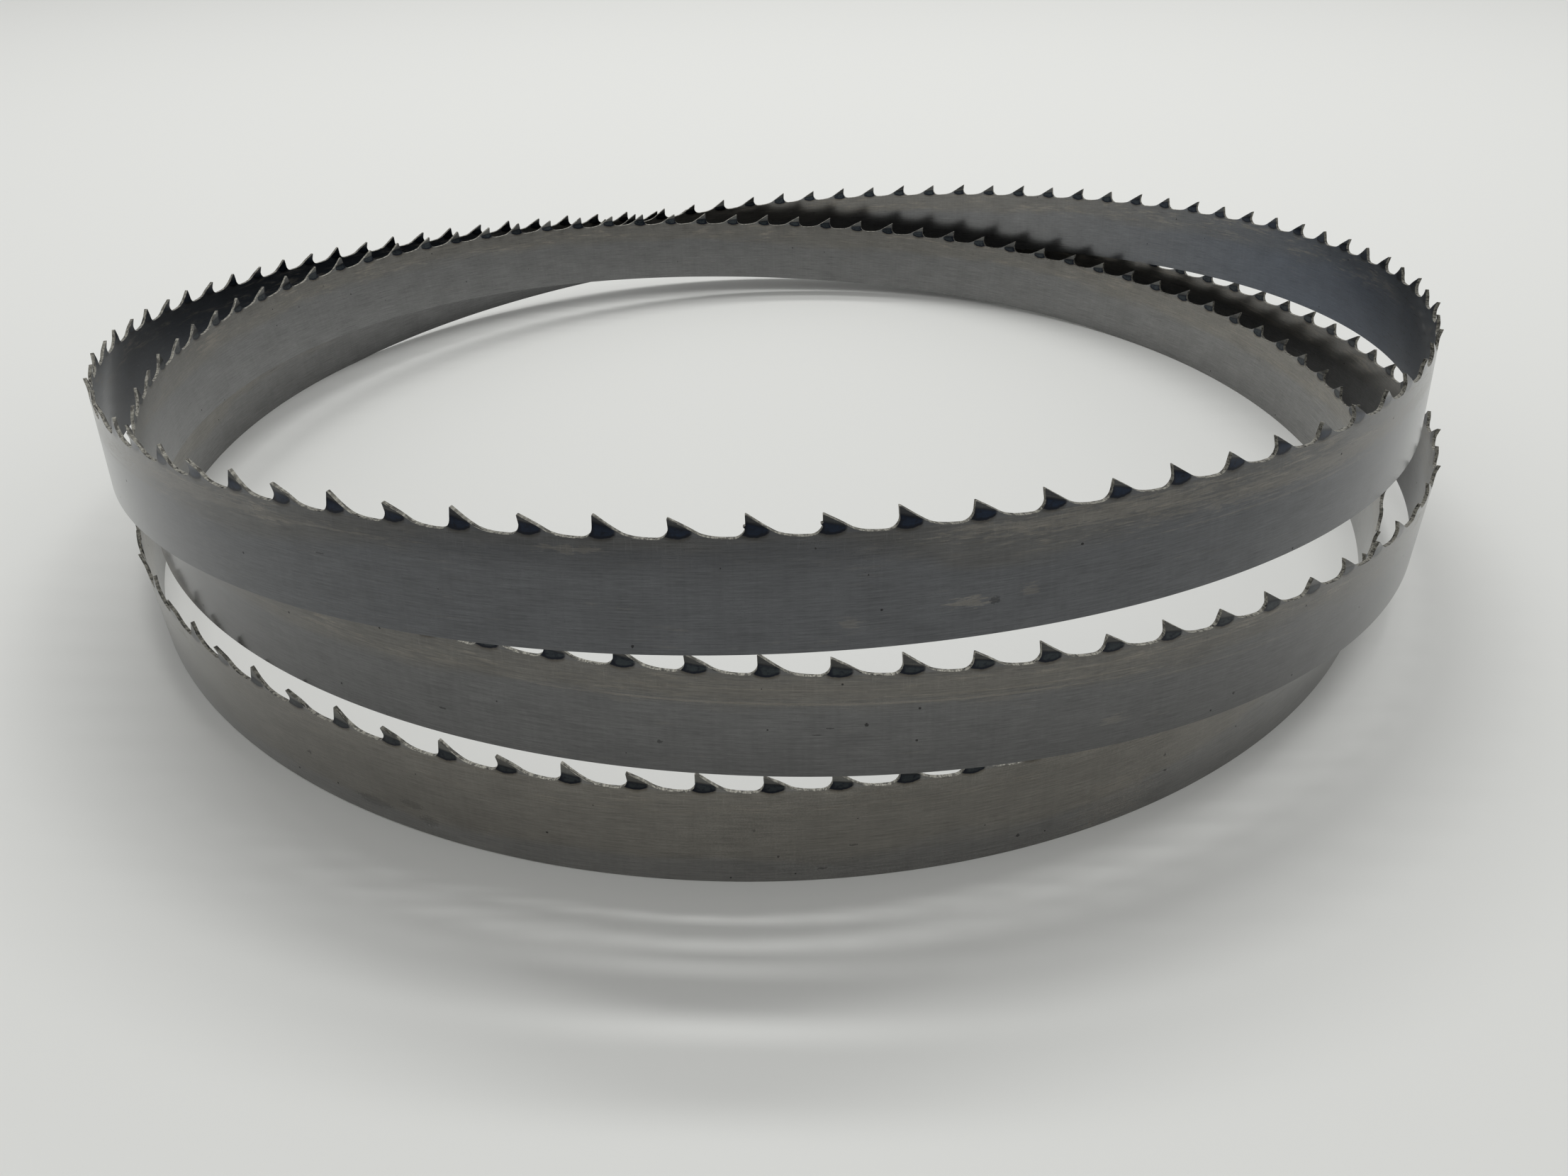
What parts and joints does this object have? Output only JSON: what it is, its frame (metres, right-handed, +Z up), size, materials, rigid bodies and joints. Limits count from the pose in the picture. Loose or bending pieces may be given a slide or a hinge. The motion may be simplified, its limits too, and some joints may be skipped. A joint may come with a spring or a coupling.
{
  "type": "band saw blade",
  "caption": "Closed loop of thin steel band with hook teeth along one edge, folded flat into three stacked coils.",
  "frame": {"origin": "centre of the coil's box, on the surface it rests on", "axes": "+Z up through the teeth, +X to the right and +Y to the back as the coil is seen from the front"},
  "size_m": [0.1802, 0.176, 0.0392],
  "materials": {
    "cold_rolled_steel": "dark grey rolled steel with a fine lengthwise grain"
  },
  "bodies": {
    "root": {"saw_band": "cold_rolled_steel"}
  },
  "joints": []
}
